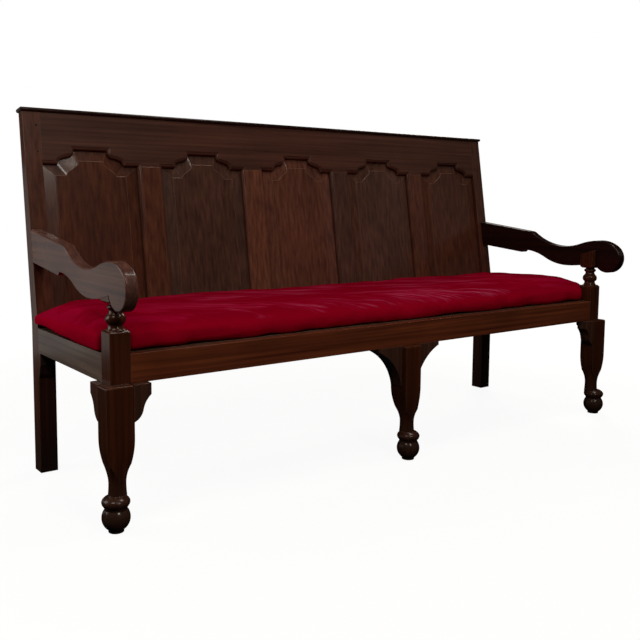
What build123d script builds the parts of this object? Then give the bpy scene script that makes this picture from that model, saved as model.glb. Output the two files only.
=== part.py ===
from build123d import *
import os
from math import asin, atan2, cos, hypot, radians, sin, tan

# A joined oak settle: a raked back of five fielded panels under an ogee-arched top rail,
# scroll arms on turned supports, a boarded seat with a loose squab cushion, square back
# legs and three turned front legs with shaped ears. Millimetres, +X to the sitter's left
# hand as seen from the front, +Y to the back, +Z up. Work is laid out from the front face
# of the back legs; each piece is moved at the end so that the origin lies on the floor
# under the middle of the settle.

# Overall
WIDTH = 1830.0  # outside of the back stiles and of the front posts
SEAT_DEPTH = 478.0  # front face of the front rail to front face of the back legs
RAIL_TOP = 400.0  # height of the seat rails
RAIL_HEIGHT = 67.0
RAIL_THICK = 32.0
PLAY = 0.2  # clearance on each side of a tenon, tongue or loose piece

# Back stiles, one piece with the back legs
STILE_WIDTH = 47.0
STILE_DEPTH = 47.0
STILE_TOP_DEPTH = 27.0  # the back of the stile tapers upward from the kink
KINK_HEIGHT = 417.0  # where the stile starts to lean back
RAKE = 9.0  # degrees
BACK_HEIGHT = 573.0  # from the kink to the top of the stile, along the lean

# Framing of the back
FRAME_THICK = 26.0
PANEL_COUNT = 5
MUNTIN_WIDTH = 79.0  # mouldings included
TOP_RAIL_HEIGHT = 143.0  # at the sides of the arches

# Ogee arch under the top rail
ARCH_RISE = 42.0
ARCH_RUN = 48.0  # across one shoulder
ARCH_FLAT = 45.0  # level stretch beside the muntin
ARCH_RADIUS = 16.0
ARCH_RISER = 4.0  # upright stretch that ends the shoulder

# Ovolo worked on the edges of the muntins and of the arches
OVOLO = 8.0
QUIRK = 1.5
OVOLO_STEPS = 3

# Fielded panels
GROOVE_DEPTH = 9.0
GROOVE_SETBACK = 13.0  # front face of the frame to the tongue
TONGUE_THICK = 6.0
TONGUE_END_ROOM = 1.0
BEVEL_SIDE = 37.0
BEVEL_TOP = 30.0
BEVEL_RISE = 4.5
FIELD_STEP = 1.5
FIELD_FLAT = 31.0
FIELD_RUN = 36.0
FIELD_RADIUS = 12.0

# Cap moulding along the top
CAP_THICK = 11.0
CAP_OVERHANG = 6.0
CAP_BACK_OVERHANG = 2.0
CAP_NOSE = 5.0  # radius of the rounded front and ends

# Tenons and pegs
TENON_THICK = 12.0
TENON_LENGTH = 26.0
REAR_TENON_LENGTH = 22.0  # of the rear rail, short of the side rail's tenon
TENON_SHOULDER = 10.0  # left above and below a tenon
STUB_TENON = 9.0
PEG_DIAMETER = 8.0
PEG_PLAY = 0.05
PEG_FROM_EDGE = 11.0
PEG_PROUD = 0.5
TOP_RAIL_PEGS = (33.0, 106.0)  # above the foot of the top rail

# Front posts and the turned arm supports above them
POST_WIDTH = 50.0
POST_DEPTH = 46.0
POST_TOP = 455.0
POST_CHAMFER = 5.0
SUPPORT_FOOT_RADIUS = 22.5
SUPPORT_NECK_RADIUS = 17.0
SUPPORT_BULB_RADIUS = 23.5
SUPPORT_WAIST_RADIUS = 14.5
SUPPORT_COLLAR_RADIUS = 19.5
SUPPORT_NECK_RISE = 12.0
SUPPORT_BULB_RISE = 24.0
SUPPORT_WAIST_RISE = 45.0
SUPPORT_COLLAR_RISE = 51.0
SUPPORT_HEIGHT = 60.0  # from the post to the square block
LIP_RISE_BACK = 46.0  # block to the slanted top of the lip beside the arm
LIP_RISE_FRONT = 62.0

# Front legs, turned on two axes: the shank on one and the foot on another, further out
KNEE_WIDTH = 67.0
KNEE_DEPTH = 49.0
KNEE_PROUD = 17.0  # of the post, to the front and to the side
KNEE_FOOT = 212.0  # where the flats of the knee start to narrow
KNEE_CORNER_FOOT = 165.0  # where its corners start to round
KNEE_LIP = 5.0  # rounding of the ledge on top of the knee
CENTRE_KNEE_WIDTH = 58.0
CENTRE_KNEE_DEPTH = 63.0
FOOT_OFFSET = 7.5  # of the foot's axis from the shank's, forward and to the side
ANKLE_HEIGHT = 108.0
ANKLE_RADIUS = 20.0
RING_RADIUS = 32.3
RING_HEIGHT = 69.5
RING_HALF = 12.5
RING_TOP_RADIUS = 21.5
FOOT_NECK_RADIUS = 26.0
BALL_RADIUS = 32.6
BALL_HEIGHT = 33.0
PAD_RADIUS = 17.5
PAD_HEIGHT = 6.0

# Ears glued under the rails beside the legs
EAR_THICK = 36.0
EAR_SLOPE = 0.2  # run over rise of the curve at the waist
CORNER_EAR_WIDTH = 42.0
CORNER_EAR_DROP = 26.0  # of the square tip
CORNER_EAR_WAIST = (22.0, 59.0)  # out from the leg and down from the rail
CORNER_EAR_HEIGHT = 85.0
BACK_EAR_WIDTH = 15.0
BACK_EAR_DROP = 32.0
BACK_EAR_WAIST = (8.0, 52.0)
BACK_EAR_HEIGHT = 70.0
CENTRE_EAR_WIDTH = 88.0
CENTRE_EAR_DROP = 10.0
CENTRE_EAR_HEIGHT = 120.0
CENTRE_EAR_SLOPE = 0.18  # run over rise where the sweep leaves the leg

# Arms
ARM_THICK = 30.0
ARM_TOP = 664.0  # at the stile
ARM_FOOT = 575.0
ARM_STRAIGHT = 205.0  # from the front of the back legs to the shoulder
ARM_SHOULDER_FALL = 31.0
ARM_SHOULDER_RADIUS = 30.0
ARM_SAG_REACH = 342.0
ARM_SAG_HEIGHT = 586.0
ARM_NICK_REACH = 163.0
ARM_NICK_HEIGHT = 555.0
ARM_NICK_RISE = 9.5
ARM_NICK_RUN = 11.0
ARM_BELLY_REACH = 362.0
ARM_BELLY_HEIGHT = 517.5
SCROLL_REACH = 519.0
SCROLL_HEIGHT = 552.0
SCROLL_RADIUS = 50.0
CREST_RISE = 9.5  # top of the arm above the round of the scroll
CREST_BACK = 29.0  # and behind its middle
ARM_ROUND = 4.0  # rounding of the arm's upper edges
ARM_TENON_HEIGHT = 50.0
POST_TENON = 16.0
POST_TENON_RISE = 45.0

# Seat
BOARD_COUNT = 9
BOARD_THICK = 16.0
BOARD_GAP = 3.0
REBATE = 14.0
BEARER_WIDTH = 50.0
BEARER_HEIGHT = 34.0

# Squab cushion
CUSHION_SIDE = 59.0  # height of the sides
CUSHION_CROWN = 17.0
CUSHION_SETBACK = 22.0  # from the front face of the front rail
CUSHION_BACK_ROOM = 4.0  # to the back stiles
CUSHION_OUT = 11.0  # past the side rails at the ends
CUSHION_DRAW = 6.0  # by which the long sides draw in at the middle
CUSHION_END_RUN = 90.0  # length over which each end is rounded off
CUSHION_END_DRAW = 5.0  # draw-in, side and crown at the very end
CUSHION_END_SIDE = 32.0
CUSHION_END_CROWN = 6.0
CUSHION_END_STEPS = 3
CUSHION_TOP_ROUND = 0.62  # of the side's height
CUSHION_FOOT_ROUND = 0.24
CUSHION_POST_ROOM = 9.0
CUSHION_LIFT = 0.3  # clear of the boards

# Worked out from the sizes above
HALF = WIDTH / 2
STILE_INNER = HALF - STILE_WIDTH
POST_INNER = HALF - POST_WIDTH
POST_MIDDLE = HALF - POST_WIDTH / 2
FRONT = -SEAT_DEPTH
POST_BACK = FRONT + POST_DEPTH
POST_CENTRE = FRONT + POST_DEPTH / 2
RAIL_FOOT = RAIL_TOP - RAIL_HEIGHT
RAIL_BACK = FRONT + RAIL_THICK
SIDE_RAIL_INNER = HALF - RAIL_THICK
BACK_FOOT = 0.0  # top of the rear rail, measured up the lean from the kink
ARCH_FOOT = BACK_HEIGHT - TOP_RAIL_HEIGHT
OPENING = (2 * STILE_INNER - (PANEL_COUNT - 1) * MUNTIN_WIDTH) / PANEL_COUNT
PITCH = OPENING + MUNTIN_WIDTH
KNEE_OUTER = HALF + KNEE_PROUD
KNEE_FRONT = FRONT - KNEE_PROUD
SHANK_MIDDLE = KNEE_OUTER - KNEE_WIDTH / 2
SHANK_CENTRE = KNEE_FRONT + KNEE_DEPTH / 2
CENTRE_KNEE_BACK = KNEE_FRONT + CENTRE_KNEE_DEPTH
ARM_OUTER = HALF
ARM_INNER = HALF - ARM_THICK
ARM_MIDDLE = HALF - ARM_THICK / 2
SUPPORT_TOP = POST_TOP + SUPPORT_HEIGHT
BOARD_FOOT = RAIL_TOP - BOARD_THICK
FRONT_PEG_LENGTH = POST_DEPTH - TENON_SHOULDER / 2
REAR_PEG_LENGTH = STILE_DEPTH - TENON_SHOULDER / 2
LEAN = Pos(0, 0, KINK_HEIGHT) * Rot(-RAKE, 0, 0)
MARGIN = 1.0  # by which a cutting solid overshoots the face it opens


def lean_y(height):
    """Depth of the raked front face of a stile at a height above the floor."""
    return (height - KINK_HEIGHT) * tan(radians(RAKE))


def block(x, y, z):
    """Rectangular solid between three pairs of limits."""
    spans = [sorted(pair) for pair in (x, y, z)]
    size = [high - low for low, high in spans]
    middle = [(high + low) / 2 for low, high in spans]
    return Pos(*middle) * Box(*size)


def around(middle, size):
    """Pair of limits that a size takes up about its middle."""
    return middle - size / 2, middle + size / 2


def front_face(face, depth):
    """Face drawn in X and Z, set at a depth behind the front."""
    return Plane.XZ.offset(-depth) * face


def front_slab(face, front, back):
    """Board cut to a face drawn in X and Z."""
    return extrude(front_face(face, front), amount=front - back)


def side_slab(face, left, right):
    """Board cut to a face drawn in Y and Z."""
    return extrude(Plane.YZ.offset(left) * face, amount=right - left)


def loosened(x, y, z):
    """Mortise for a tenon with the given limits."""
    return block(*[(min(pair) - PLAY, max(pair) + PLAY) for pair in (x, y, z)])


def mirrored(solid):
    """The same piece for the other end of the settle."""
    return mirror(solid, about=Plane.YZ)


def ogee(start, end):
    """Two equal arcs that leave and arrive level."""
    middle = ((start[0] + end[0]) / 2, (start[1] + end[1]) / 2)
    heading = (1 if end[0] > start[0] else -1, 0)
    return [TangentArc(start, middle, tangent=heading), TangentArc(end, middle, tangent=(-heading[0], 0))]


def opening_span(index):
    """Left and right sight edges of one panel opening."""
    left = -STILE_INNER + index * PITCH
    return left, left + OPENING


def arched(left, right, foot, head, flat, run, radius, grow=0.0):
    """Face of an ogee-arched opening, grown outward all round.

    Each shoulder rises upright from the level stretch, turns over, climbs on a
    slant and turns up again to an upright riser below the level top.
    """
    rise = ARCH_RISE - ARCH_RISER
    low = (left + flat + radius, head)
    high = (left + flat + run - radius, head + rise)
    spread = hypot(high[0] - low[0], rise)
    slant = atan2(rise, high[0] - low[0]) - asin(2 * radius / spread)
    outer = radius + grow
    inner = radius - grow
    start_turn = asin(grow / outer)

    def low_point(angle):
        return (low[0] - outer * cos(angle), low[1] + outer * sin(angle))

    def high_point(angle):
        return (high[0] + inner * cos(angle), high[1] - inner * sin(angle))

    turn = radians(90) - slant
    top = head + ARCH_RISE + grow
    shoulder = [
        Line((left - grow, foot - grow), (left - grow, head + grow)),
        Line((left - grow, head + grow), low_point(start_turn)),
        ThreePointArc(low_point(start_turn), low_point((start_turn + turn) / 2), low_point(turn)),
        Line(low_point(turn), high_point(turn)),
        ThreePointArc(high_point(turn), high_point(turn / 2), high_point(0)),
        Line(high_point(0), (high_point(0)[0], top)),
    ]
    middle = (left + right) / 2
    across = Plane((middle, 0, 0), x_dir=(0, 1, 0), z_dir=(1, 0, 0))
    other = [mirror(edge, about=across) for edge in shoulder]
    corner = high_point(0)[0]
    ends = [
        Line((corner, top), (2 * middle - corner, top)),
        Line((right + grow, foot - grow), (left - grow, foot - grow)),
    ]
    return make_face(shoulder + other + ends)


def opening_face(index, grow=0.0):
    """One panel opening, grown outward."""
    left, right = opening_span(index)
    return arched(left, right, BACK_FOOT, ARCH_FOOT, ARCH_FLAT, ARCH_RUN, ARCH_RADIUS, grow)


def field_face(index):
    """Raised field of one panel, inside its bevels."""
    left, right = opening_span(index)
    foot = BACK_FOOT + BEVEL_SIDE
    head = ARCH_FOOT - BEVEL_TOP
    return arched(left + BEVEL_SIDE, right - BEVEL_SIDE, foot, head, FIELD_FLAT, FIELD_RUN, FIELD_RADIUS)


def ovolo_cut(index):
    """Waste cut from the face round one opening to leave a quirked ovolo."""
    waste = front_slab(opening_face(index, OVOLO + QUIRK), -MARGIN, QUIRK)
    turns = [radians(90) * step / OVOLO_STEPS for step in range(OVOLO_STEPS + 1)]
    rings = [
        front_face(opening_face(index, OVOLO * (1 - sin(turn))), QUIRK + OVOLO * (1 - cos(turn)))
        for turn in turns
    ]
    for outer, inner in zip(rings, rings[1:]):
        waste += loft([outer, inner], ruled=True)
    return waste


def top_rail_tenon():
    """Limits of the tenon that joins the top rail to the left stile."""
    height = (ARCH_FOOT + TENON_SHOULDER, BACK_HEIGHT - TENON_SHOULDER)
    return (-STILE_INNER - TENON_LENGTH, -STILE_INNER), frame_tenon_depth(), height


def frame_tenon_depth():
    """Where the tenons of the back framing lie behind its face."""
    return around(GROOVE_SETBACK + TONGUE_THICK / 2, TENON_THICK)


def groove_depth():
    """Limits of the panel groove behind the face of the frame."""
    return GROOVE_SETBACK - PLAY, GROOVE_SETBACK + TONGUE_THICK + PLAY


def muntin_tenon(index, top):
    """Limits of the tenon at the top or the foot of one muntin."""
    middle = opening_span(index)[1] + MUNTIN_WIDTH / 2
    width = MUNTIN_WIDTH - 2 * (OVOLO + QUIRK + GROOVE_DEPTH)
    if top:
        height = (ARCH_FOOT, ARCH_FOOT + TENON_LENGTH)
    else:
        height = (BACK_FOOT - STUB_TENON, BACK_FOOT)
    return around(middle, width), frame_tenon_depth(), height


def peg(length):
    """Oak peg along Y from the face of the frame, slightly proud."""
    body = Cylinder(PEG_DIAMETER / 2, length + PEG_PROUD, align=(Align.CENTER, Align.CENTER, Align.MIN))
    return Pos(0, -PEG_PROUD, 0) * Rot(-90, 0, 0) * body


def peg_hole(length):
    """Hole for a peg along Y."""
    radius = PEG_DIAMETER / 2 + PEG_PLAY
    drill = Cylinder(radius, length + MARGIN, align=(Align.CENTER, Align.CENTER, Align.MIN))
    return Pos(0, -MARGIN, 0) * Rot(-90, 0, 0) * drill


def back_peg_places():
    """Pegs through the left stile, in the plane of the back."""
    along = -STILE_INNER - PEG_FROM_EDGE
    return [Pos(along, 0, ARCH_FOOT + above) for above in TOP_RAIL_PEGS]


def seat_peg_places():
    """Pegs of the front and rear rail at the left end, driven in from behind."""
    height = RAIL_TOP - RAIL_HEIGHT / 2
    post_side = Pos(-POST_INNER - PEG_FROM_EDGE, POST_BACK, height) * Rot(0, 0, 180)
    stile_side = Pos(-STILE_INNER - PEG_FROM_EDGE, STILE_DEPTH, height) * Rot(0, 0, 180)
    return [post_side, stile_side]


def both_ends(solids):
    """Group of like pieces at both ends of the settle."""
    return Compound(children=list(solids) + [mirrored(solid) for solid in solids])


def stile_outline():
    """Side view of a back leg and stile."""
    inner_kink = KINK_HEIGHT - STILE_DEPTH * tan(radians(RAKE / 2))
    upright = Vector(sin(radians(RAKE)), cos(radians(RAKE)))
    square = Vector(cos(radians(RAKE)), -sin(radians(RAKE)))
    kink = Vector(0, KINK_HEIGHT)
    top_front = kink + upright * BACK_HEIGHT
    top_back = top_front + square * STILE_TOP_DEPTH
    return make_face(
        Polyline((0, 0), (STILE_DEPTH, 0), (STILE_DEPTH, inner_kink), top_back, top_front, kink, close=True)
    )


def rear_stile():
    """Left back leg and stile, mortised for the back, the seat rails and the arm."""
    stile = side_slab(stile_outline(), -HALF, -STILE_INNER)
    groove = block(
        (-STILE_INNER - GROOVE_DEPTH, -STILE_INNER + MARGIN),
        groove_depth(),
        (BACK_FOOT - GROOVE_DEPTH, ARCH_FOOT + GROOVE_DEPTH),
    )
    leaning = groove + loosened(*top_rail_tenon())
    for place in back_peg_places():
        leaning += place * peg_hole(FRAME_THICK)
    stile -= LEAN * leaning
    stile -= loosened(*side_rail_tenon(back=True))
    stile -= loosened(*rear_rail_tenon())
    stile -= loosened(*arm_tenon())
    return stile - seat_peg_places()[1] * peg_hole(REAR_PEG_LENGTH)


def top_rail():
    """Arched top rail with its ovolo, panel grooves, mortises and end tenons."""
    rail = block((-STILE_INNER, STILE_INNER), (0, FRAME_THICK), (ARCH_FOOT, BACK_HEIGHT))
    for index in range(PANEL_COUNT):
        rail -= front_slab(opening_face(index), -MARGIN, FRAME_THICK + MARGIN)
        rail -= ovolo_cut(index)
        rail -= front_slab(opening_face(index, GROOVE_DEPTH), *groove_depth())
    for index in range(PANEL_COUNT - 1):
        rail -= loosened(*muntin_tenon(index, top=True))
    tenon = block(*top_rail_tenon())
    for place in back_peg_places():
        tenon -= place * peg_hole(FRAME_THICK)
    return LEAN * (rail + tenon + mirrored(tenon))


def muntin_section():
    """Plan of a muntin: ovolo on both front edges and a groove in both sides."""
    half = MUNTIN_WIDTH / 2
    flat = half - OVOLO - QUIRK
    crown = half - OVOLO
    heart = (crown, QUIRK + OVOLO)
    round_middle = (heart[0] + OVOLO * sin(radians(45)), heart[1] - OVOLO * cos(radians(45)))
    near, far = groove_depth()
    bed = half - GROOVE_DEPTH
    side = [
        Line((0, 0), (flat, 0)),
        Line((flat, 0), (flat, QUIRK)),
        Line((flat, QUIRK), (crown, QUIRK)),
        ThreePointArc((crown, QUIRK), round_middle, (half, QUIRK + OVOLO)),
        Polyline((half, QUIRK + OVOLO), (half, near), (bed, near), (bed, far), (half, far)),
        Polyline((half, far), (half, FRAME_THICK), (0, FRAME_THICK)),
    ]
    return make_face(side + [mirror(edge, about=Plane.YZ) for edge in side])


def muntin(index):
    """Upright between two panels, tenoned into both rails."""
    middle = opening_span(index)[1] + MUNTIN_WIDTH / 2
    plan = Pos(middle, 0, BACK_FOOT) * muntin_section()
    upright = extrude(plan, amount=ARCH_FOOT - BACK_FOOT)
    tenons = block(*muntin_tenon(index, top=True)) + block(*muntin_tenon(index, top=False))
    return LEAN * (upright + tenons)


def panel(index):
    """Fielded panel: a tongue in the grooves, four bevels and a raised field."""
    tongue_back = GROOVE_SETBACK + TONGUE_THICK
    bevel_top = GROOVE_SETBACK - BEVEL_RISE
    board = front_slab(opening_face(index, GROOVE_DEPTH - TONGUE_END_ROOM), GROOVE_SETBACK, tongue_back)
    sight = front_face(opening_face(index), GROOVE_SETBACK)
    board += loft([sight, front_face(field_face(index), bevel_top)], ruled=True)
    board += front_slab(field_face(index), bevel_top - FIELD_STEP, bevel_top)
    return LEAN * board


def cap_moulding():
    """Thin board with a rounded nose on top of the back."""
    length = (-HALF - CAP_OVERHANG, HALF + CAP_OVERHANG)
    depth = (-CAP_OVERHANG, STILE_TOP_DEPTH + CAP_BACK_OVERHANG)
    board = block(length, depth, (BACK_HEIGHT, BACK_HEIGHT + CAP_THICK))
    nose = board.edges().filter_by(Axis.X).group_by(Axis.Y)[0]
    ends = board.edges().filter_by(Axis.Y)
    return LEAN * fillet(nose + ends, CAP_NOSE)


def rail_tenon_height():
    """Height of the tenons of the seat rails."""
    return RAIL_FOOT + TENON_SHOULDER, RAIL_TOP - TENON_SHOULDER - REBATE


def front_rail_tenon():
    """Limits of the left tenon of the front rail."""
    depth = (FRONT + TENON_SHOULDER, FRONT + TENON_SHOULDER + TENON_THICK)
    return (-POST_INNER - TENON_LENGTH, -POST_INNER), depth, rail_tenon_height()


def side_rail_tenon(back):
    """Limits of the tenon at one end of the left side rail."""
    across = (-HALF + TENON_SHOULDER, -HALF + TENON_SHOULDER + TENON_THICK)
    if back:
        depth = (0, TENON_LENGTH)
    else:
        depth = (POST_BACK - TENON_LENGTH, POST_BACK)
    return across, depth, rail_tenon_height()


def rear_rail_tenon():
    """Limits of the left tenon of the rear rail."""
    across = (-STILE_INNER - REAR_TENON_LENGTH, -STILE_INNER)
    return across, around(RAIL_THICK / 2, TENON_THICK), rail_tenon_height()


def front_seat_rail():
    """Front rail, rebated for the boards and mortised for the centre leg."""
    rail = block((-POST_INNER, POST_INNER), (FRONT, RAIL_BACK), (RAIL_FOOT, RAIL_TOP))
    rail -= block(
        (-POST_INNER - MARGIN, POST_INNER + MARGIN),
        (RAIL_BACK - REBATE, RAIL_BACK + MARGIN),
        (BOARD_FOOT, RAIL_TOP + MARGIN),
    )
    rail -= loosened(*centre_leg_tenon())
    rail -= loosened(*bearer_tenon(back=False))
    tenon = block(*front_rail_tenon()) - seat_peg_places()[0] * peg_hole(FRONT_PEG_LENGTH)
    return rail + tenon + mirrored(tenon)


def rear_rail_outline():
    """End view of the rear rail, its top square to the lean of the back."""
    top_back = KINK_HEIGHT - RAIL_THICK * tan(radians(RAKE))
    return make_face(
        Polyline(
            (0, RAIL_FOOT),
            (RAIL_THICK, RAIL_FOOT),
            (RAIL_THICK, top_back),
            (0, KINK_HEIGHT),
            close=True,
        )
    )


def rear_seat_rail():
    """Rear rail, grooved in front for the seat boards and on top for the panels."""
    rail = side_slab(rear_rail_outline(), -STILE_INNER, STILE_INNER)
    rail -= block(
        (-STILE_INNER - MARGIN, STILE_INNER + MARGIN),
        (-MARGIN, REBATE),
        (BOARD_FOOT - PLAY, RAIL_TOP + PLAY),
    )
    rail -= loosened(*bearer_tenon(back=True))
    for index in range(PANEL_COUNT):
        rail -= LEAN * front_slab(opening_face(index, GROOVE_DEPTH), *groove_depth())
    for index in range(PANEL_COUNT - 1):
        rail -= LEAN * loosened(*muntin_tenon(index, top=False))
    tenon = block(*rear_rail_tenon()) - seat_peg_places()[1] * peg_hole(REAR_PEG_LENGTH)
    return rail + tenon + mirrored(tenon)


def side_seat_rail():
    """Left side rail between the front post and the back leg."""
    rail = block((-HALF, -SIDE_RAIL_INNER), (POST_BACK, 0), (RAIL_FOOT, RAIL_TOP))
    return rail + block(*side_rail_tenon(back=False)) + block(*side_rail_tenon(back=True))


def bearer_tenon(back):
    """Limits of the stub tenon at one end of the seat bearer."""
    across = around(0, BEARER_WIDTH - 2 * TENON_SHOULDER)
    height = around(BOARD_FOOT - BEARER_HEIGHT / 2, TENON_THICK)
    if back:
        return across, (0, STUB_TENON), height
    return across, (RAIL_BACK - STUB_TENON, RAIL_BACK), height


def seat_bearer():
    """Cross rail under the boards at the middle of the seat."""
    bearer = block(
        around(0, BEARER_WIDTH),
        (RAIL_BACK, 0),
        (BOARD_FOOT - BEARER_HEIGHT, BOARD_FOOT),
    )
    return bearer + block(*bearer_tenon(back=False)) + block(*bearer_tenon(back=True))


def seat_corners():
    """Room for the left post and back leg, cut from the corners of an end board."""
    height = (BOARD_FOOT - MARGIN, RAIL_TOP + MARGIN)
    post = block((-HALF, -POST_INNER + PLAY), (FRONT, POST_BACK + PLAY), height)
    return post + block((-HALF, -STILE_INNER + PLAY), (-PLAY, STILE_DEPTH), height)


def seat_board(index):
    """One seat board, laid in the rebate of the front rail and the groove of the rear rail."""
    span = 2 * (SIDE_RAIL_INNER - PLAY)
    pitch = (span + BOARD_GAP) / BOARD_COUNT
    left = -span / 2 + index * pitch
    depth = (RAIL_BACK - REBATE + PLAY, REBATE - PLAY)
    board = block((left, left + pitch - BOARD_GAP), depth, (BOARD_FOOT, RAIL_TOP))
    return board - seat_corners() - mirrored(seat_corners())


def leg_side(reach):
    """One edge of a leg: upright at the knee, an ogee, and in to the ankle."""
    knee = Line((reach, RAIL_FOOT), (reach, KNEE_FOOT))
    bend = ((reach + ANKLE_RADIUS) / 2, (KNEE_FOOT + ANKLE_HEIGHT) / 2)
    swell = TangentArc((reach, KNEE_FOOT), bend, tangent=(0, -1))
    sweep = TangentArc((ANKLE_RADIUS, ANKLE_HEIGHT), bend, tangent=(0, 1))
    return [knee, swell, sweep]


def leg_outline(near, far):
    """Front or side view of a leg from the ankle to the top of the knee."""
    near_side = [mirror(edge, about=Plane.YZ) for edge in leg_side(near)]
    top = Line((far, RAIL_FOOT), (-near, RAIL_FOOT))
    foot = Line((ANKLE_RADIUS, ANKLE_HEIGHT), (-ANKLE_RADIUS, ANKLE_HEIGHT))
    return make_face(near_side + leg_side(far) + [top, foot])


def turned(edges):
    """Solid of revolution about Z from a half profile drawn in X and Z."""
    return revolve(Plane.XZ * make_face(edges), axis=Axis.Z)


def corner_rounding(corner):
    """Turned envelope that takes a leg from square at the knee to round at the ankle."""
    start = (ANKLE_RADIUS, ANKLE_HEIGHT)
    end = (corner, KNEE_CORNER_FOOT)
    flare = TangentArc(start, end, tangent=(0, 1))
    rest = Polyline(end, (corner, RAIL_FOOT), (0, RAIL_FOOT), (0, ANKLE_HEIGHT), start)
    return turned([flare, rest])


def half_chord(radius, offset):
    """Half of a circle's chord at a distance from its centre."""
    return (radius ** 2 - offset ** 2) ** 0.5


def turned_foot():
    """Ball foot on a small pad, with a ring above."""
    ball_start = half_chord(BALL_RADIUS, BALL_HEIGHT - PAD_HEIGHT)
    ball_end = (FOOT_NECK_RADIUS, BALL_HEIGHT + half_chord(BALL_RADIUS, FOOT_NECK_RADIUS))
    ring_foot = (FOOT_NECK_RADIUS, RING_HEIGHT - RING_HALF)
    ring_top = (RING_TOP_RADIUS, RING_HEIGHT + RING_HALF)
    profile = [
        Polyline(ring_top, (0, ring_top[1]), (0, 0), (PAD_RADIUS, 0), (ball_start, PAD_HEIGHT)),
        ThreePointArc((ball_start, PAD_HEIGHT), (BALL_RADIUS, BALL_HEIGHT), ball_end),
        Line(ball_end, ring_foot),
        Spline(ring_foot, (RING_RADIUS, RING_HEIGHT), ring_top),
    ]
    return turned(profile)


def ankle():
    """Turned hollow from the ankle down into the ring."""
    top = (ANKLE_RADIUS, ANKLE_HEIGHT)
    foot = (RING_TOP_RADIUS, RING_HEIGHT + RING_HALF)
    rest = Polyline(foot, (foot[0], RING_HEIGHT), (0, RING_HEIGHT), (0, ANKLE_HEIGHT), top)
    return turned([TangentArc(top, foot, tangent=(0, -1)), rest])


def lower_leg(half_width, front, back, foot_side):
    """Leg below the rail about its shank's axis: square knee, round ankle, turned foot."""
    corner = hypot(half_width, max(front, back))
    width = front_slab(leg_outline(half_width, half_width), -corner, corner)
    depth = side_slab(leg_outline(front, back), -corner, corner)
    shank = width & depth & corner_rounding(corner)
    lip = shank.faces().sort_by(Axis.Z)[-1].edges()
    return fillet(lip, KNEE_LIP) + ankle() + Pos(foot_side, -FOOT_OFFSET, 0) * turned_foot()


def arm_support():
    """Turned vase between the post and the block, about its own axis."""
    neck = (SUPPORT_NECK_RADIUS, POST_TOP + SUPPORT_NECK_RISE)
    bulb = (SUPPORT_BULB_RADIUS, POST_TOP + SUPPORT_BULB_RISE)
    waist = (SUPPORT_WAIST_RADIUS, POST_TOP + SUPPORT_WAIST_RISE)
    collar = (SUPPORT_COLLAR_RADIUS, POST_TOP + SUPPORT_COLLAR_RISE)
    above = (SUPPORT_WAIST_RADIUS, 2 * collar[1] - waist[1])
    foot = (SUPPORT_FOOT_RADIUS, POST_TOP)
    belly = TangentArc(bulb, neck, tangent=(0, -1))
    taper = TangentArc(bulb, ((bulb[0] + waist[0]) / 2, (bulb[1] + waist[1]) / 2), tangent=(0, 1))
    profile = [
        Polyline((0, SUPPORT_TOP + MARGIN), (0, POST_TOP - MARGIN), (foot[0], POST_TOP - MARGIN), foot),
        TangentArc(neck, foot, tangent=(0, -1)),
        belly,
        taper,
        TangentArc(waist, taper @ 1, tangent=(0, -1)),
        Spline(waist, collar, above),
        Polyline(above, (above[0], SUPPORT_TOP + MARGIN), (0, SUPPORT_TOP + MARGIN)),
    ]
    return turned(profile)


def support_block():
    """Square block under the arm, its inner lip lapping the arm's inner face."""
    outline = make_face(
        Polyline(
            (POST_BACK, SUPPORT_TOP),
            (FRONT, SUPPORT_TOP),
            (FRONT, SUPPORT_TOP + LIP_RISE_FRONT),
            (POST_BACK, SUPPORT_TOP + LIP_RISE_BACK),
            close=True,
        )
    )
    solid = side_slab(outline, -HALF, -POST_INNER)
    solid = chamfer(solid.faces().sort_by(Axis.Z)[0].edges(), POST_CHAMFER)
    return solid - side_slab(arm_outline(), -ARM_OUTER - MARGIN, -ARM_INNER)


def post_tenon():
    """Limits of the tenon on the left support block that enters the arm."""
    across = around(-ARM_MIDDLE, POST_TENON)
    return across, around(POST_CENTRE, POST_TENON), (SUPPORT_TOP, SUPPORT_TOP + POST_TENON_RISE)


def front_leg():
    """Left front leg, post, turned support and block in one piece."""
    post = block((-HALF, -POST_INNER), (FRONT, POST_BACK), (RAIL_FOOT, POST_TOP))
    post = chamfer(post.faces().sort_by(Axis.Z)[-1].edges(), POST_CHAMFER)
    knee = lower_leg(KNEE_WIDTH / 2, KNEE_DEPTH / 2, KNEE_DEPTH / 2, -FOOT_OFFSET)
    leg = Pos(-SHANK_MIDDLE, SHANK_CENTRE, 0) * knee + post
    leg += Pos(-POST_MIDDLE, POST_CENTRE, 0) * arm_support()
    leg += support_block() + block(*post_tenon())
    leg -= loosened(*front_rail_tenon())
    leg -= loosened(*side_rail_tenon(back=False))
    return leg - seat_peg_places()[0] * peg_hole(FRONT_PEG_LENGTH)


def centre_leg_tenon():
    """Limits of the centre leg's tenon in the front rail."""
    across = around(0, CENTRE_KNEE_WIDTH - 2 * TENON_SHOULDER)
    depth = (FRONT + TENON_SHOULDER - PLAY, FRONT + TENON_SHOULDER + TENON_THICK - PLAY)
    return across, depth, (RAIL_FOOT, RAIL_FOOT + TENON_LENGTH)


def centre_leg():
    """Middle front leg, tenoned up into the front rail."""
    leg = lower_leg(CENTRE_KNEE_WIDTH / 2, KNEE_DEPTH / 2, CENTRE_KNEE_BACK - SHANK_CENTRE, 0)
    return Pos(0, SHANK_CENTRE, 0) * leg + block(*centre_leg_tenon())


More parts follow.
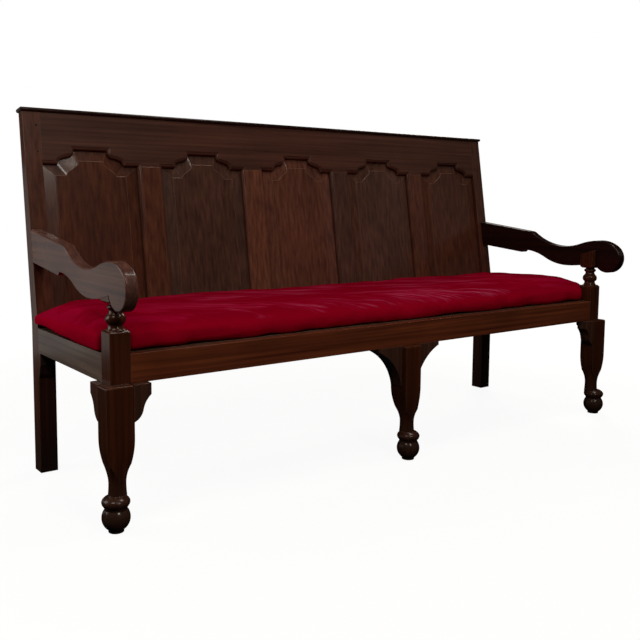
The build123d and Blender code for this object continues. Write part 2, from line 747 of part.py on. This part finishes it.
def ear_outline(width, drop, waist, height):
    """Ear drawn from the side of a leg: a square tip, a hollow and a rounded lobe."""
    tip = (width, RAIL_FOOT - drop)
    hollow = (waist[0], RAIL_FOOT - waist[1])
    toe = (0, RAIL_FOOT - height)
    return make_face(
        [
            Polyline(toe, (0, RAIL_FOOT), (width, RAIL_FOOT), tip),
            TangentArc(hollow, tip, tangent=(EAR_SLOPE, 1)),
            TangentArc(hollow, toe, tangent=(-EAR_SLOPE, -1)),
        ]
    )


def corner_ear_outline():
    """Ear of a front corner leg."""
    return ear_outline(CORNER_EAR_WIDTH, CORNER_EAR_DROP, CORNER_EAR_WAIST, CORNER_EAR_HEIGHT)


def front_ear():
    """Ear beside the left front leg, under the front rail."""
    face = Pos(-SHANK_MIDDLE + KNEE_WIDTH / 2, 0) * corner_ear_outline()
    return front_slab(face, KNEE_FRONT, KNEE_FRONT + EAR_THICK)


def side_ear():
    """Ear behind the left front leg, under the side rail."""
    face = Pos(KNEE_FRONT + KNEE_DEPTH, 0) * corner_ear_outline()
    return side_slab(face, -KNEE_OUTER, -KNEE_OUTER + EAR_THICK)


def back_ear():
    """Ear in front of the left back leg, under the side rail."""
    face = ear_outline(BACK_EAR_WIDTH, BACK_EAR_DROP, BACK_EAR_WAIST, BACK_EAR_HEIGHT)
    return side_slab(mirror(face, about=Plane.YZ), -HALF, -HALF + EAR_THICK)


def centre_ear():
    """Long ear to the left of the centre leg: a short tip and one hollow sweep."""
    tip = (-CENTRE_EAR_WIDTH, RAIL_FOOT - CENTRE_EAR_DROP)
    toe = (0, RAIL_FOOT - CENTRE_EAR_HEIGHT)
    face = make_face(
        [
            Polyline(toe, (0, RAIL_FOOT), (tip[0], RAIL_FOOT), tip),
            TangentArc(toe, tip, tangent=(-CENTRE_EAR_SLOPE, 1)),
        ]
    )
    return front_slab(Pos(-CENTRE_KNEE_WIDTH / 2, 0) * face, FRONT, CENTRE_KNEE_BACK)


def arm_outline():
    """Side view of an arm: a straight, a drop into a sag, and a crest rolled into a scroll."""
    head = (lean_y(ARM_TOP), ARM_TOP)
    heel = (lean_y(ARM_FOOT), ARM_FOOT)
    shoulder = (-ARM_STRAIGHT, ARM_TOP - ARM_SHOULDER_FALL)
    sag = (-ARM_SAG_REACH, ARM_SAG_HEIGHT)
    centre = (-SCROLL_REACH, SCROLL_HEIGHT)
    crest = (centre[0] + CREST_BACK, centre[1] + SCROLL_RADIUS + CREST_RISE)
    hub_drop = CREST_BACK**2 / (2 * CREST_RISE) - CREST_RISE / 2
    share = SCROLL_RADIUS / hypot(CREST_BACK, hub_drop)
    meet = (centre[0] - CREST_BACK * share, centre[1] + hub_drop * share)
    belly = (-ARM_BELLY_REACH, ARM_BELLY_HEIGHT)
    nick = (-ARM_NICK_REACH, ARM_NICK_HEIGHT)
    hook = (-ARM_NICK_REACH - ARM_NICK_RUN, ARM_NICK_HEIGHT + ARM_NICK_RISE)
    edges = [Line(head, shoulder), TangentArc(sag, shoulder, tangent=(1, 0))]
    edges += ogee(sag, crest)
    edges += [TangentArc(crest, meet, tangent=(-1, 0)), Line(meet, centre)]
    edges.append(TangentArc(belly, centre, tangent=(-1, 0)))
    edges += ogee(belly, hook)
    edges.append(Polyline(hook, nick, heel, head))
    board = make_face(edges)
    corner = board.vertices().sort_by_distance(shoulder)[0]
    board = fillet(corner, ARM_SHOULDER_RADIUS)
    return board + Pos(*centre) * Circle(SCROLL_RADIUS)


def arm_tenon():
    """Limits of the tenon that joins the left arm to the stile."""
    middle = (ARM_TOP + ARM_FOOT) / 2
    height = around(middle, ARM_TENON_HEIGHT)
    depth = (lean_y(height[0]) - MARGIN, lean_y(middle) + TENON_LENGTH)
    return around(-ARM_MIDDLE, TENON_THICK), depth, height


def arm():
    """Left arm, its upper edges rounded, tenoned into the stile and onto the support."""
    board = side_slab(arm_outline(), -ARM_OUTER, -ARM_INNER)
    upper = [face for face in board.faces() if face.normal_at().Z > 0 or face.center().Y < -SCROLL_REACH]
    board = fillet([edge for face in upper for edge in face.edges().filter_by(Plane.YZ)], ARM_ROUND)
    return board + block(*arm_tenon()) - loosened(*post_tenon())


def cushion_section(across, inset, side, crown):
    """Cross section of the cushion: flat below, rounded sides, crowned above."""
    front = FRONT + CUSHION_SETBACK + inset
    back = -CUSHION_BACK_ROOM - inset
    foot = RAIL_TOP + CUSHION_LIFT
    head = foot + side
    face = make_face(
        [
            Polyline((front, head), (front, foot), (back, foot), (back, head)),
            ThreePointArc((back, head), ((front + back) / 2, head + crown), (front, head)),
        ]
    )
    face = fillet(face.vertices().group_by(Axis.Y)[-1], CUSHION_TOP_ROUND * side)
    face = fillet(face.vertices().group_by(Axis.Y)[0], CUSHION_FOOT_ROUND * side)
    return Plane.YZ.offset(across) * face


def cushion_end_section(along):
    """Section at a fraction of the way along the rounded right end of the cushion."""
    across = HALF + CUSHION_OUT - CUSHION_END_RUN * (1 - along)
    fall = 1 - half_chord(1, along)
    inset = CUSHION_END_DRAW * fall
    side = CUSHION_SIDE - (CUSHION_SIDE - CUSHION_END_SIDE) * fall
    crown = CUSHION_CROWN - (CUSHION_CROWN - CUSHION_END_CROWN) * fall
    return cushion_section(across, inset, side, crown)


def cushion():
    """Loose squab with a crown, drawn-in sides and corners cut away for the posts."""
    end = loft([cushion_end_section(step / CUSHION_END_STEPS) for step in range(CUSHION_END_STEPS + 1)])
    near = cushion_end_section(0)
    middle = cushion_section(0, CUSHION_DRAW, CUSHION_SIDE, CUSHION_CROWN)
    pad = loft([mirrored(near), middle, near]) + end + mirrored(end)
    corner = block(
        (-HALF - KNEE_PROUD, -POST_INNER + CUSHION_POST_ROOM),
        (FRONT, POST_BACK + CUSHION_POST_ROOM),
        (RAIL_TOP, RAIL_TOP + 2 * CUSHION_SIDE),
    )
    return pad - corner - mirrored(corner)


def settle():
    """Every piece by name, laid out from the front face of the back legs."""
    pieces = {"top_rail": top_rail(), "cap_moulding": cap_moulding()}
    for index in range(PANEL_COUNT):
        pieces[f"panel_{index + 1}"] = panel(index)
    for index in range(PANEL_COUNT - 1):
        pieces[f"muntin_{index + 1}"] = muntin(index)
    pieces["front_seat_rail"] = front_seat_rail()
    pieces["rear_seat_rail"] = rear_seat_rail()
    pieces["seat_bearer"] = seat_bearer()
    for index in range(BOARD_COUNT):
        pieces[f"seat_board_{index + 1}"] = seat_board(index)
    pieces["centre_leg"] = centre_leg()
    paired = {
        "rear_stile": rear_stile(),
        "side_seat_rail": side_seat_rail(),
        "front_leg": front_leg(),
        "arm": arm(),
        "front_ear": front_ear(),
        "side_ear": side_ear(),
        "back_ear": back_ear(),
        "centre_ear": centre_ear(),
    }
    for name, piece in paired.items():
        pieces[f"{name}_left"] = piece
        pieces[f"{name}_right"] = mirrored(piece)
    pieces["back_pegs"] = both_ends([LEAN * place * peg(FRAME_THICK) for place in back_peg_places()])
    seat_places = seat_peg_places()
    seat_lengths = (FRONT_PEG_LENGTH, REAR_PEG_LENGTH)
    seat_pegs = [place * peg(length) for place, length in zip(seat_places, seat_lengths)]
    pieces["seat_pegs"] = both_ends(seat_pegs)
    pieces["cushion"] = cushion()
    return pieces


pieces = settle()
boxes = [piece.bounding_box() for piece in pieces.values()]
middle_y = (min(box.min.Y for box in boxes) + max(box.max.Y for box in boxes)) / 2
os.makedirs("parts", exist_ok=True)
for name, piece in pieces.items():
    export_step(Pos(0, -middle_y, 0) * piece, f"parts/{name}.step")
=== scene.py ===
import math

import bpy
from mathutils import Matrix, Vector


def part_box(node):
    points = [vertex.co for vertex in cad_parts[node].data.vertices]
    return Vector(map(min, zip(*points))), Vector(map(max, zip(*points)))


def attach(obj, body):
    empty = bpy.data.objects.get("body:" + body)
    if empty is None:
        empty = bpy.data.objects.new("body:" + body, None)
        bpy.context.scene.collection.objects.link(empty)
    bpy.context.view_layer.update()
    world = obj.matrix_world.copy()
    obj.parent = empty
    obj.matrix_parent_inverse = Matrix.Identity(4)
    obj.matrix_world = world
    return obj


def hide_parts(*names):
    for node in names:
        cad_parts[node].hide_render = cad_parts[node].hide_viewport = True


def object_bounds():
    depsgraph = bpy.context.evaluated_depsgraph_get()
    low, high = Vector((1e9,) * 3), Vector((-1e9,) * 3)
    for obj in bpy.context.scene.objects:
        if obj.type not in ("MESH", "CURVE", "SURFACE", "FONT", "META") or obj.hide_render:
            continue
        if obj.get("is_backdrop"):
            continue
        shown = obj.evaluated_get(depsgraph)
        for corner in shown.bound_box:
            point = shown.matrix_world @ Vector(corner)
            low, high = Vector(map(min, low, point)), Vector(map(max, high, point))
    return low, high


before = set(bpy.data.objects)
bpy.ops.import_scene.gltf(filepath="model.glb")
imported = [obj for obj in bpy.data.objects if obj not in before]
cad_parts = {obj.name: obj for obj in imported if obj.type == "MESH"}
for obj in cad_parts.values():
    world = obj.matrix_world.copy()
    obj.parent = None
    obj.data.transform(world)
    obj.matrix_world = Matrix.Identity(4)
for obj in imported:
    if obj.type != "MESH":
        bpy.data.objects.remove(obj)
bpy.ops.object.select_all(action="DESELECT")
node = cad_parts
cad_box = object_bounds()


# Back legs: two oak posts, each sawn in one piece from the floor to the top of the back and
# kinked at the seat so that the back leans. Stained dark and waxed for generations, so the
# flat faces shine softly and the arrises have worn paler.
def linear(colour):
    """The linear RGBA of an sRGB hex colour."""
    parts = [int(colour[i:i + 2], 16) / 255 for i in (1, 3, 5)]
    return [c / 12.92 if c < 0.04045 else ((c + 0.055) / 1.055) ** 2.4 for c in parts] + [1]


def add(tree, kind, sockets={}, **settings):
    """Adds a node with its settings; a socket gets a link or a plain value."""
    made = tree.nodes.new("ShaderNode" + kind)
    for name, value in settings.items():
        setattr(made, name, value)
    for name, value in sockets.items():
        if isinstance(value, bpy.types.NodeSocket):
            tree.links.new(value, made.inputs[name])
        else:
            made.inputs[name].default_value = value
    return made


def waxed_oak(name, grain, dark, light, shift, gloss=0.3, arris=0.85, polish=0.6):
    """Stained and waxed oak with its grain along one axis of the settle.

    The eye gets streaky brown figure, short dark pores along the grain, cloudy old wax,
    paler edges, darker corners and feet greyed by the mop, all under a polish. The pale
    edges are partly real wear and partly a painted highlight along the arrises; the darker
    corners are partly real dirt and partly painted shade, darkest where the faces close in.
    The pores are drawn 2 mm wide, coarser than real ones, so that they show from across a
    room. The shift moves the figure, so that no two boards match. The gloss is the roughness
    under the wax, the polish is the weight of the wax coat, and the nearer the arris is to 1,
    the blunter the edges that get the pale wear and painted highlight."""
    material = bpy.data.materials.new(name)
    material.use_nodes = True
    tree = material.node_tree
    place = add(tree, "TexCoord").outputs["Object"]

    def streaky(width, length, detail):
        """Noise drawn out along the grain, its cells of a width and a length in mm."""
        scale = [1000 / width] * 3
        scale["XYZ".index(grain)] = 1000 / length
        placed = add(tree, "Mapping", {"Vector": place, "Scale": scale, "Location": [shift] * 3})
        return add(tree, "TexNoise", {"Vector": placed.outputs[0], "Scale": 1, "Detail": detail}).outputs[0]

    figure = streaky(9, 620, 3)
    pores = streaky(2, 80, 2)
    clouds = streaky(120, 260, 3)

    growth = {"Value": figure, "From Min": 0.25, "From Max": 0.75}
    growth = add(tree, "MapRange", growth).outputs[0]
    wood = add(tree, "Mix", {0: growth, 6: linear(dark), 7: linear(light)}, data_type="RGBA").outputs[2]
    open_pores = {"Value": pores, "From Min": 0.56, "From Max": 0.7, "To Max": 0.18}
    open_pores = add(tree, "MapRange", open_pores).outputs[0]
    pored = {0: open_pores, 6: wood, 7: linear("#170d09")}
    pored = add(tree, "Mix", pored, data_type="RGBA").outputs[2]
    old_wax = {"Value": clouds, "From Min": 0.35, "From Max": 0.8, "To Max": 0.4}
    old_wax = add(tree, "MapRange", old_wax).outputs[0]
    waxed = {0: old_wax, 6: pored, 7: linear("#24160f")}
    waxed = add(tree, "Mix", waxed, data_type="RGBA").outputs[2]

    # Paler edges: partly real wear, partly a painted highlight along the arrises.
    rounded = add(tree, "Bevel", {"Radius": 0.0022}, samples=6).outputs[0]
    flat = add(tree, "NewGeometry").outputs["Normal"]
    bend = add(tree, "VectorMath", {0: rounded, 1: flat}, operation="DOT_PRODUCT").outputs["Value"]
    worn_and_highlit = {"Value": bend, "From Min": 0.9 + 0.1 * arris, "From Max": arris, "To Max": 0.45}
    worn_and_highlit = add(tree, "MapRange", worn_and_highlit).outputs[0]
    rubbed_and_highlit = {0: worn_and_highlit, 6: waxed, 7: linear("#b08068")}
    rubbed_and_highlit = add(tree, "Mix", rubbed_and_highlit, data_type="RGBA").outputs[2]
    # Darker corners: partly real dirt in the quirks, partly painted shade where the faces close in.
    corner = add(tree, "AmbientOcclusion", {"Distance": 0.007}, samples=6).outputs["AO"]
    dirt_and_shade = {"Value": corner, "From Min": 0.8, "From Max": 0.35, "To Max": 0.75}
    dirt_and_shade = add(tree, "MapRange", dirt_and_shade).outputs[0]
    dirtied_and_shaded = {0: dirt_and_shade, 6: rubbed_and_highlit, 7: linear("#0c0604")}
    dirtied_and_shaded = add(tree, "Mix", dirtied_and_shaded, data_type="RGBA").outputs[2]
    height = add(tree, "SeparateXYZ", {0: place}).outputs["Z"]
    mopped = {"Value": height, "From Min": 0.16, "From Max": 0.04, "To Max": 0.6}
    mopped = add(tree, "MapRange", mopped).outputs[0]
    colour = {0: mopped, 6: dirtied_and_shaded, 7: linear("#40342e")}
    colour = add(tree, "Mix", colour, data_type="RGBA").outputs[2]

    shine = {"Value": clouds, "From Min": 0.3, "From Max": 0.7,
             "To Min": gloss - 0.05, "To Max": gloss + 0.08}
    shine = add(tree, "MapRange", shine).outputs[0]
    relief = {"Strength": 0.2, "Distance": 0.0006, "Height": figure, "Normal": rounded}
    relief = add(tree, "Bump", relief).outputs[0]
    relief = {"Strength": 0.1, "Distance": 0.0004, "Height": pores, "Normal": relief}
    relief = add(tree, "Bump", relief, invert=True).outputs[0]

    shader = tree.nodes["Principled BSDF"]
    shader.inputs["Specular IOR Level"].default_value = 0.15
    shader.inputs["Coat Weight"].default_value = polish
    shader.inputs["Coat Roughness"].default_value = 0.16
    tree.links.new(colour, shader.inputs["Base Color"])
    tree.links.new(shine, shader.inputs["Roughness"])
    tree.links.new(relief, shader.inputs["Normal"])
    tree.links.new(rounded, shader.inputs["Coat Normal"])
    return material


def finish(material, *names):
    """Gives the CAD pieces of those names this finish."""
    for name in names:
        node[name].data.materials.clear()
        node[name].data.materials.append(material)


finish(waxed_oak("waxed_oak_stiles", "Z", "#4e2b20", "#804c37", 3), "rear_stile_left", "rear_stile_right")


# Top rail and cap: a wide oak board tenoned between the stiles, its lower edge sawn to five
# arches with a moulding worked along them, and a thin cap moulding nailed along its top. The
# rail has less of a polish than the rest.
rail_oak = waxed_oak("waxed_oak_top_rail", "X", "#4f2f27", "#754d3e", 11, gloss=0.42, polish=0.2)
finish(rail_oak, "top_rail")
finish(waxed_oak("waxed_oak_cap", "X", "#261510", "#3f261c", 17), "cap_moulding")


# Muntins: four short oak uprights between the panels, tenoned into the rails, with the same
# moulding worked on both of their front edges. Each is from another board, so the tones differ.
muntin_tones = [
    ("#593228", "#88533b"),
    ("#663b31", "#9c6348"),
    ("#543530", "#815848"),
    ("#552e25", "#834f38"),
]
for number, (dark, light) in enumerate(muntin_tones, 1):
    # Their moulded edges are painted paler, partly wear and partly a painted highlight.
    upright = waxed_oak(f"waxed_oak_muntin_{number}", "Z", dark, light, 23 + number, arris=0.95)
    finish(upright, f"muntin_{number}")


# Panels: five riven oak boards with a raised field, bevelled thin at the edges to sit loose
# in the grooves of the frame, their heads cut to the arches. The edges of the fields are
# painted pale, partly wear and partly a painted highlight, and each board has its own tone.
panel_tones = [
    ("#4d2a21", "#794832"),
    ("#4a302b", "#755140"),
    ("#5e3830", "#935c46"),
    ("#4f332c", "#7e5542"),
    ("#4e2d23", "#7b4b35"),
]
for number, (dark, light) in enumerate(panel_tones, 1):
    board = waxed_oak(f"waxed_oak_panel_{number}", "Z", dark, light, 31 + number, gloss=0.34, arris=0.996)
    finish(board, f"panel_{number}")


# Pegs: riven oak pins driven through the tenons of the top rail from the front and of the long
# seat rails from behind, and cut almost flush. Their end grain has taken the stain darker.
finish(waxed_oak("waxed_oak_pegs", "Y", "#1c0f0c", "#381e15", 37), "back_pegs", "seat_pegs")


# Front legs: one oak post each, turned to a ball foot at the bottom, left square at the seat
# joint and turned to a small vase below the arm. The middle leg is planted under the rail.
turned_oak = waxed_oak("waxed_oak_legs", "Z", "#472113", "#723c22", 41, gloss=0.28)
finish(turned_oak, "front_leg_left", "front_leg_right", "centre_leg")


# Seat rails: long front and back rails and two short side rails of sawn oak, tenoned into the
# legs, the long ones pegged too. The side rails are painted greyer than the long ones, a painted sheen.
long_oak = waxed_oak("waxed_oak_long_rails", "X", "#642d1d", "#b05d37", 47)
side_oak_painted_sheen = waxed_oak("waxed_oak_side_rails_painted_sheen", "Y", "#6a544c", "#9c8272", 53)
finish(long_oak, "front_seat_rail", "rear_seat_rail")
finish(side_oak_painted_sheen, "side_seat_rail_left", "side_seat_rail_right")


# Ears: small oak brackets sawn to a curve and glued beside the legs under the rails, with
# their grain upright like that of the legs.
ear_oak = waxed_oak("waxed_oak_ears", "Z", "#4a3027", "#7a4f3c", 59)
for side in ("left", "right"):
    finish(ear_oak, *[f"{where}_ear_{side}" for where in ("front", "side", "back", "centre")])


# Arms: flat oak boards sawn to a long curve that ends in a scroll, with the upper edges
# rounded by hand, tenoned into the stiles and set over the front posts. The left one is
# painted lighter and greyer, a painted sheen, and the right one near black, a painted shade.
finish(waxed_oak("waxed_oak_arm_left_painted_sheen", "Y", "#5a3b36", "#936150", 61, gloss=0.26), "arm_left")
finish(waxed_oak("waxed_oak_arm_right_painted_shade", "Y", "#1e0f0d", "#3a1c15", 62, gloss=0.26), "arm_right")


# Seat boards and bearer: sawn oak boards laid front to back under the cushion, in a rebate of
# the front rail and a groove of the back one. Never stained, they are paler and duller.
dry_oak = waxed_oak("plain_oak_boards", "Y", "#4a3728", "#7a6048", 67, gloss=0.65)
finish(dry_oak, "seat_bearer", *[f"seat_board_{i}" for i in range(1, 10)])


# Cushion: a loose squab of red cotton velvet, one long bag stuffed with flock, crowned along
# the middle, thinner at its ends and flat where it lies on the seat boards.

# The velvet gives the eye a deep matt crimson, painted brighter on the upright front as painted
# light, with a soft rim of sheen, and paler streaks where the pile was brushed over, mostly in
# the middle, which is sat on. Its tufts are drawn 4 mm wide, coarser than real pile, so that they show.
velvet = bpy.data.materials.new("cotton_velvet_crimson")
velvet.use_nodes = True
tree = velvet.node_tree
place = add(tree, "TexCoord").outputs["Object"]
brushed = add(tree, "Mapping", {"Vector": place, "Rotation": (0, 0, math.radians(20))}).outputs[0]
thin = add(tree, "Mapping", {"Vector": brushed, "Scale": (1000 / 150, 1000 / 5, 1000 / 40)}).outputs[0]
strokes = {"Vector": thin, "Scale": 1, "Detail": 3, "Roughness": 0.6, "Distortion": 0.6}
strokes = add(tree, "TexNoise", strokes).outputs[0]
broad = add(tree, "Mapping", {"Vector": brushed, "Scale": (1000 / 330, 1000 / 90, 1000 / 60)}).outputs[0]
patches = add(tree, "TexNoise", {"Vector": broad, "Scale": 1, "Detail": 3, "Distortion": 0.8}).outputs[0]
lain_over = add(tree, "MapRange", {"Value": strokes, "From Min": 0.5, "From Max": 0.68}).outputs[0]
where = add(tree, "MapRange", {"Value": patches, "From Min": 0.45, "From Max": 0.6}).outputs[0]
upward = add(tree, "SeparateXYZ", {0: add(tree, "NewGeometry").outputs["Normal"]}).outputs["Z"]
on_top = add(tree, "MapRange", {"Value": upward, "From Min": 0.35, "From Max": 0.85}).outputs[0]
streak = add(tree, "Math", {0: lain_over, 1: where}, operation="MULTIPLY").outputs[0]
streak = add(tree, "Math", {0: streak, 1: on_top}, operation="MULTIPLY").outputs[0]
along = add(tree, "SeparateXYZ", {0: place}).outputs["X"]
along = add(tree, "Math", {0: along}, operation="ABSOLUTE").outputs[0]
sat_on = add(tree, "MapRange", {"Value": along, "From Min": 0.8, "From Max": 0.5}).outputs[0]
streak = add(tree, "Math", {0: streak, 1: sat_on}, operation="MULTIPLY").outputs[0]
pile = {0: where, 6: linear("#a80226"), 7: linear("#bc0838")}
pile = add(tree, "Mix", pile, data_type="RGBA").outputs[2]
# Painted light: the upright front gets a brighter crimson than the top.
pile = add(tree, "Mix", {0: on_top, 6: linear("#cc042f"), 7: pile}, data_type="RGBA").outputs[2]
pile = add(tree, "Mix", {0: streak, 6: pile, 7: linear("#d65c82")}, data_type="RGBA").outputs[2]
tufts = add(tree, "TexNoise", {"Vector": place, "Scale": 1000 / 4, "Detail": 2}).outputs[0]
nap = add(tree, "Bump", {"Strength": 0.25, "Distance": 0.001, "Height": tufts}).outputs[0]
nap = add(tree, "Bump", {"Strength": 0.3, "Distance": 0.004, "Height": strokes, "Normal": nap}).outputs[0]
shader = tree.nodes["Principled BSDF"]
shader.inputs["Roughness"].default_value = 0.9
shader.inputs["Specular IOR Level"].default_value = 0
shader.inputs["Sheen Weight"].default_value = 0.25
shader.inputs["Sheen Roughness"].default_value = 0.4
shader.inputs["Sheen Tint"].default_value = linear("#e01040")
tree.links.new(pile, shader.inputs["Base Color"])
tree.links.new(nap, shader.inputs["Normal"])

# The bag: it starts a little fuller than the solid, the stuffing pushes no point further than
# the swell, and its back corners are drawn out and then pinched towards the seam.
puff, swell, weave, settle_frames = 0.002, 0.005, 0.010, 20
draw_from_end, draw_from_back, draw_back = 0.8, 0.1, 0.6
pinch_from_end, pinch_end_run = 0.83, 0.09
pinch_from_back, pinch_back_run = -0.1, 0.3
pinch_share, seam = 0.4, 0.43
squab = bpy.data.objects.new("squab", node["cushion"].data.copy())
bpy.context.scene.collection.objects.link(squab)
bpy.context.view_layer.objects.active = squab
squab.select_set(True)
bpy.ops.object.mode_set(mode="EDIT")
bpy.ops.mesh.select_all(action="SELECT")
bpy.ops.mesh.remove_doubles(threshold=0.0002)
bpy.ops.transform.shrink_fatten(value=puff)
bpy.ops.object.mode_set(mode="OBJECT")
remesh = squab.modifiers.new("weave", "REMESH")
remesh.mode, remesh.voxel_size = "VOXEL", weave
bpy.ops.object.modifier_apply(modifier="weave")
slack_cloth = [corner.co.copy() for corner in squab.data.vertices]
cloth = squab.modifiers.new("stuffing", "CLOTH")
cloth.settings.use_pressure = True
cloth.settings.uniform_pressure_force = 4
cloth.settings.quality = 4
cloth.settings.tension_stiffness = 12
cloth.settings.bending_stiffness = 0.4
cloth.settings.shrink_min = -0.012
cloth.settings.effector_weights.gravity = 0
cloth.collision_settings.use_collision = False
cloth.point_cache.frame_end = settle_frames
for tick in range(1, settle_frames + 1):
    bpy.context.scene.frame_set(tick)
bpy.ops.object.modifier_apply(modifier="stuffing")
for corner, start in zip(squab.data.vertices, slack_cloth):
    moved = corner.co - start
    if moved.length > swell:
        corner.co = start + moved * (swell / moved.length)
flock = bpy.data.textures.new("flock", "CLOUDS")
flock.noise_scale = 0.13
lumps = squab.modifiers.new("lumps", "DISPLACE")
lumps.texture = flock
lumps.strength = 0.018
lumps.mid_level = 0.6
bpy.ops.object.modifier_apply(modifier="lumps")
low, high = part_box("cushion")
for corner in squab.data.vertices:
    drawn = max(0, abs(corner.co.x) - draw_from_end) * max(0, corner.co.y - draw_from_back)
    corner.co.x += math.copysign(drawn, corner.co.x)
    corner.co.y += draw_back * drawn
    at_end = min(1, max(0, (abs(corner.co.x) - pinch_from_end) / pinch_end_run))
    at_back = min(1, max(0, corner.co.y - pinch_from_back) / pinch_back_run)
    pinch = at_end * at_back
    corner.co.z += pinch_share * pinch * (seam - corner.co.z)
    corner.co = [min(max(c, a), b) for c, a, b in zip(corner.co, low, high)]
bpy.ops.object.shade_smooth()
finer = squab.modifiers.new("finer", "SUBSURF")
finer.levels = finer.render_levels = 1
bpy.ops.object.modifier_apply(modifier="finer")
squab.data.materials.clear()
squab.data.materials.append(velvet)
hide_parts("cushion")
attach(squab, "cushion")
squab.select_set(False)


# Floor: a plain round of matt white paint under the settle. It glows, so that the eye gets a
# white ground with a faint shadow under the seat and no edge against the background.
bpy.ops.mesh.primitive_circle_add(vertices=96, radius=3.2, fill_type="NGON", location=(0, 0, 0))
floor = bpy.context.object
floor.name = "studio_floor"
pale_paint = bpy.data.materials.new("matt_paint_white")
pale_paint.use_nodes = True
tree = pale_paint.node_tree
place = add(tree, "TexCoord").outputs["Object"]
outward = add(tree, "VectorMath", {0: place}, operation="LENGTH").outputs["Value"]
glow = {"Value": outward, "From Min": 1.2, "From Max": 2.8, "To Min": 0.93, "To Max": 1}
glow = add(tree, "MapRange", glow).outputs[0]
shader = tree.nodes["Principled BSDF"]
shader.inputs["Base Color"].default_value = linear("#6e6d6c")
shader.inputs["Roughness"].default_value = 1
shader.inputs["Emission Color"].default_value = linear("#ffffff")
tree.links.new(glow, shader.inputs["Emission Strength"])
floor.data.materials.append(pale_paint)
floor.visible_glossy = False
floor.visible_diffuse = False
floor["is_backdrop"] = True


# Studio light: warm lamps in front, overhead and behind, a thin one high in front that glints
# in the curved bevels of the panels, two plain ones at the left end, and a weak screen at
# either end that shines along the flat faces, in a dim room with a white background.
def soft_lamp(name, place, target, width, height, power, colour):
    """Rectangular lamp that shines from a place towards a target, in metres and watts."""
    lamp = bpy.data.lights.new(name, "AREA")
    lamp.shape = "RECTANGLE"
    lamp.size, lamp.size_y, lamp.energy = width, height, power
    lamp.color = linear(colour)[:3]
    held = bpy.data.objects.new(name, lamp)
    held.location = place
    held.rotation_euler = (Vector(target) - Vector(place)).to_track_quat("-Z", "Y").to_euler()
    held.visible_camera = False
    bpy.context.scene.collection.objects.link(held)


warm, plain = "#fff6ec", "#fffcf7"
middle, left_end, back = (0, 0, 0.6), (-0.9, -0.1, 0.6), (-0.3, 0.2, 0.85)
soft_lamp("lamp_key", (-0.63, -2.8, 2.2), back, 0.64, 0.3, 10, warm)
soft_lamp("lamp_glint", (-0.22, -2.8, 2.95), back, 1.06, 0.12, 5.2, warm)
soft_lamp("lamp_high", (-0.51, -1.9, 3.4), middle, 1.4, 0.6, 4.5, warm)
soft_lamp("lamp_right", (1.0, -0.7, 3.6), (0.5, 0, 0.6), 0.8, 0.8, 16, warm)
soft_lamp("lamp_behind", (2.27, 1.59, 2.2), middle, 1.0, 1.0, 20, warm)
soft_lamp("lamp_left_high", (-1.9, -0.9, 2.2), left_end, 0.6, 0.6, 6.5, plain)
soft_lamp("lamp_left", (-2.0, 0.6, 1.0), left_end, 0.9, 0.9, 5.2, plain)
soft_lamp("screen_left", (-1.75, 1.8, 0.45), left_end, 0.7, 0.9, 0.65, plain)
soft_lamp("screen_right", (2.55, -1.5, 1.5), (0.6, 0.2, 0.7), 1.2, 1.2, 0.45, plain)

world = bpy.data.worlds.new("studio")
bpy.context.scene.world = world
world.use_nodes = True
seen = add(world.node_tree, "LightPath").outputs["Is Camera Ray"]
dim_room, white = (0.004, 0.004, 0.004, 1), (1, 1, 1, 1)
backing = {0: seen, 6: dim_room, 7: white}
backing = add(world.node_tree, "Mix", backing, data_type="RGBA").outputs[2]
world.node_tree.links.new(backing, world.node_tree.nodes["Background"].inputs["Color"])
bpy.context.scene.view_settings.view_transform = "Standard"


# Camera: low and to the left of the settle, looking along it, framed as the photograph is. It
# stands where the straight lines of the frame fall on those of the picture.
stand, turn, dip, roll = (-1.6166, -1.8973, 0.7430), -35.44, 5.46, 0.26
camera = bpy.data.cameras.new("camera")
camera.sensor_width = 36
camera.lens = 45.236
camera.shift_x = 0.0572
camera.shift_y = -0.0659
held = bpy.data.objects.new("camera", camera)
held.matrix_world = (Matrix.Translation(stand)
                     @ Matrix.Rotation(math.radians(turn), 4, "Z")
                     @ Matrix.Rotation(math.radians(90 - dip), 4, "X")
                     @ Matrix.Rotation(math.radians(roll), 4, "Z"))
bpy.context.scene.collection.objects.link(held)
bpy.context.scene.camera = held

sizes = {"cad": cad_box, "visual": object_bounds()}
sizes = {kind: [list(corner) for corner in box] for kind, box in sizes.items()}
